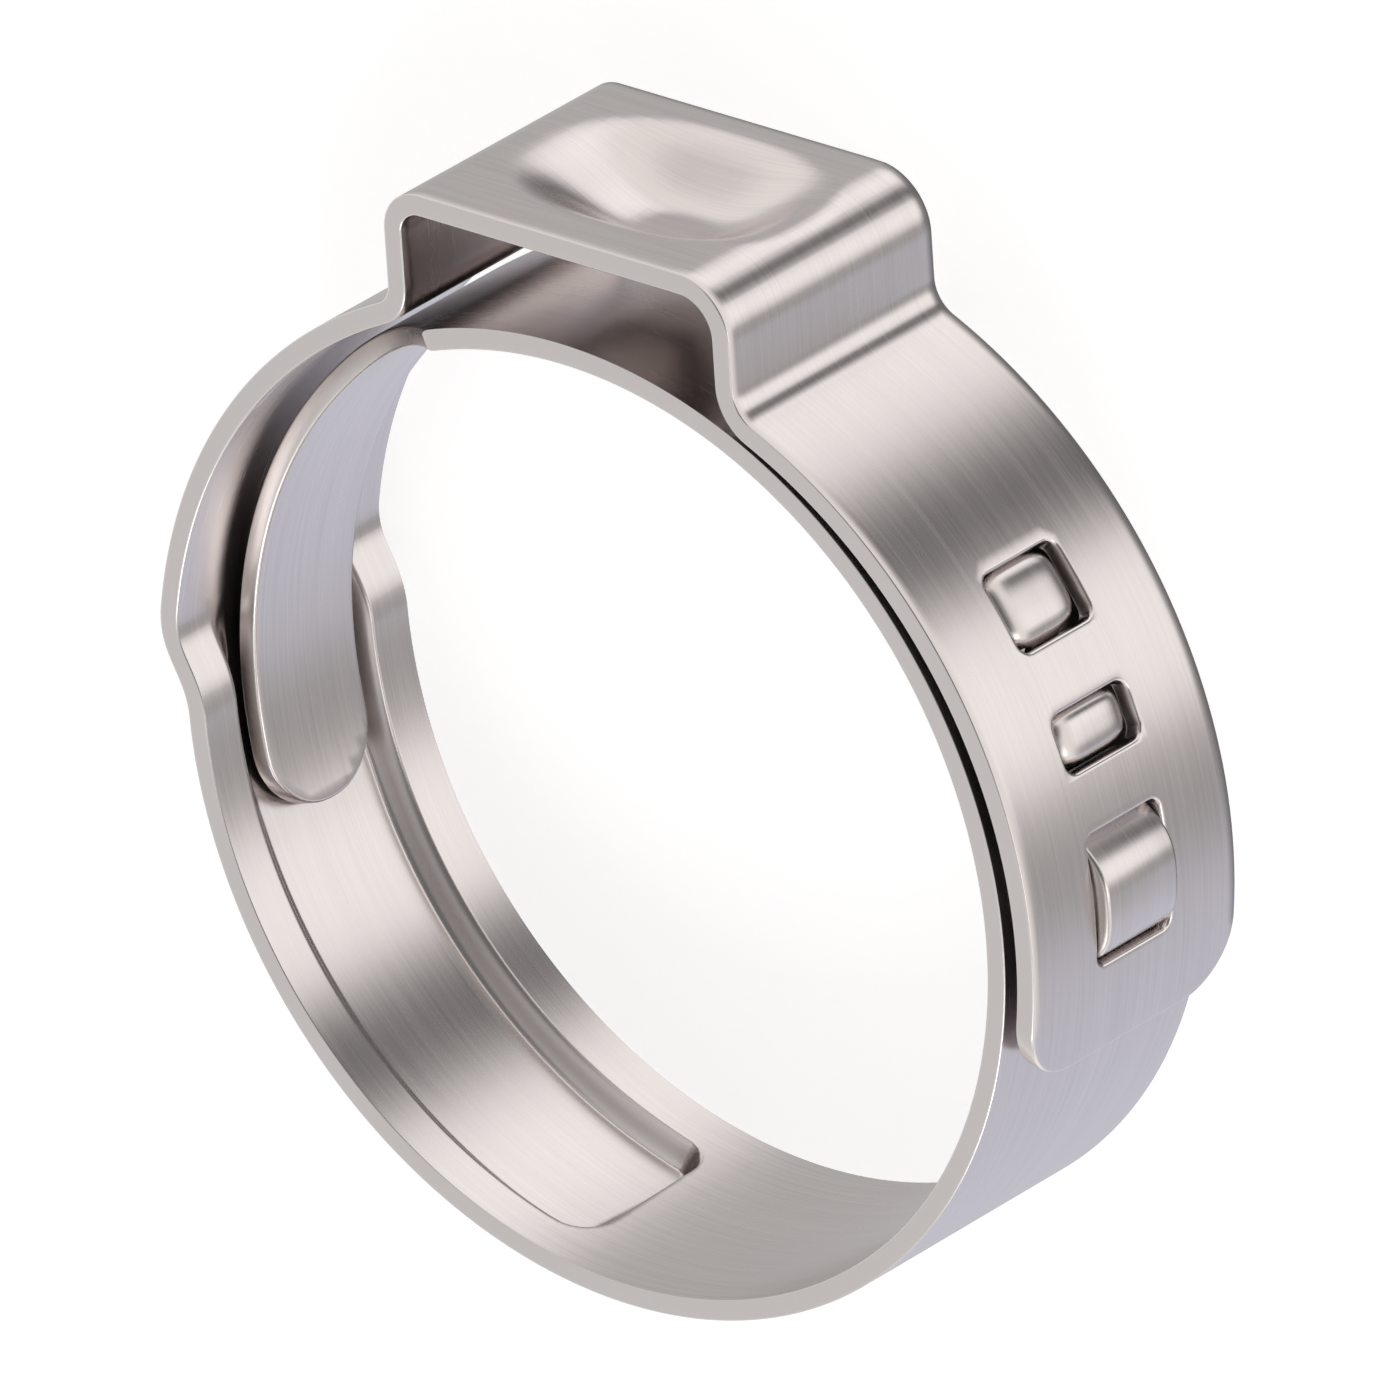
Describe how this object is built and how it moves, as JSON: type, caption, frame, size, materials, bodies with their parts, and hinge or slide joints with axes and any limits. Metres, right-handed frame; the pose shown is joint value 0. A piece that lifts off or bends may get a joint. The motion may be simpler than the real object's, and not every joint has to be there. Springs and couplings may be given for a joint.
{
  "type": "ear hose clamp",
  "caption": "Stepless ear clamp: a thin steel strip wound into a ring, with a dimpled ear, windows with hooks and an inner tongue in a channel.",
  "frame": {"origin": "centre of the hose bore at the lower rim, which lies on the surface", "axes": "+Z along the bore's axis, up from the rim that the clamp lies on; +Y towards the ear; +X towards the overlapping outer end with the windows"},
  "size_m": [0.0257, 0.0268, 0.007],
  "materials": {
    "strip": "satin stainless steel, brushed along the strip"
  },
  "bodies": {
    "root": {"clamp": "strip"}
  },
  "joints": []
}
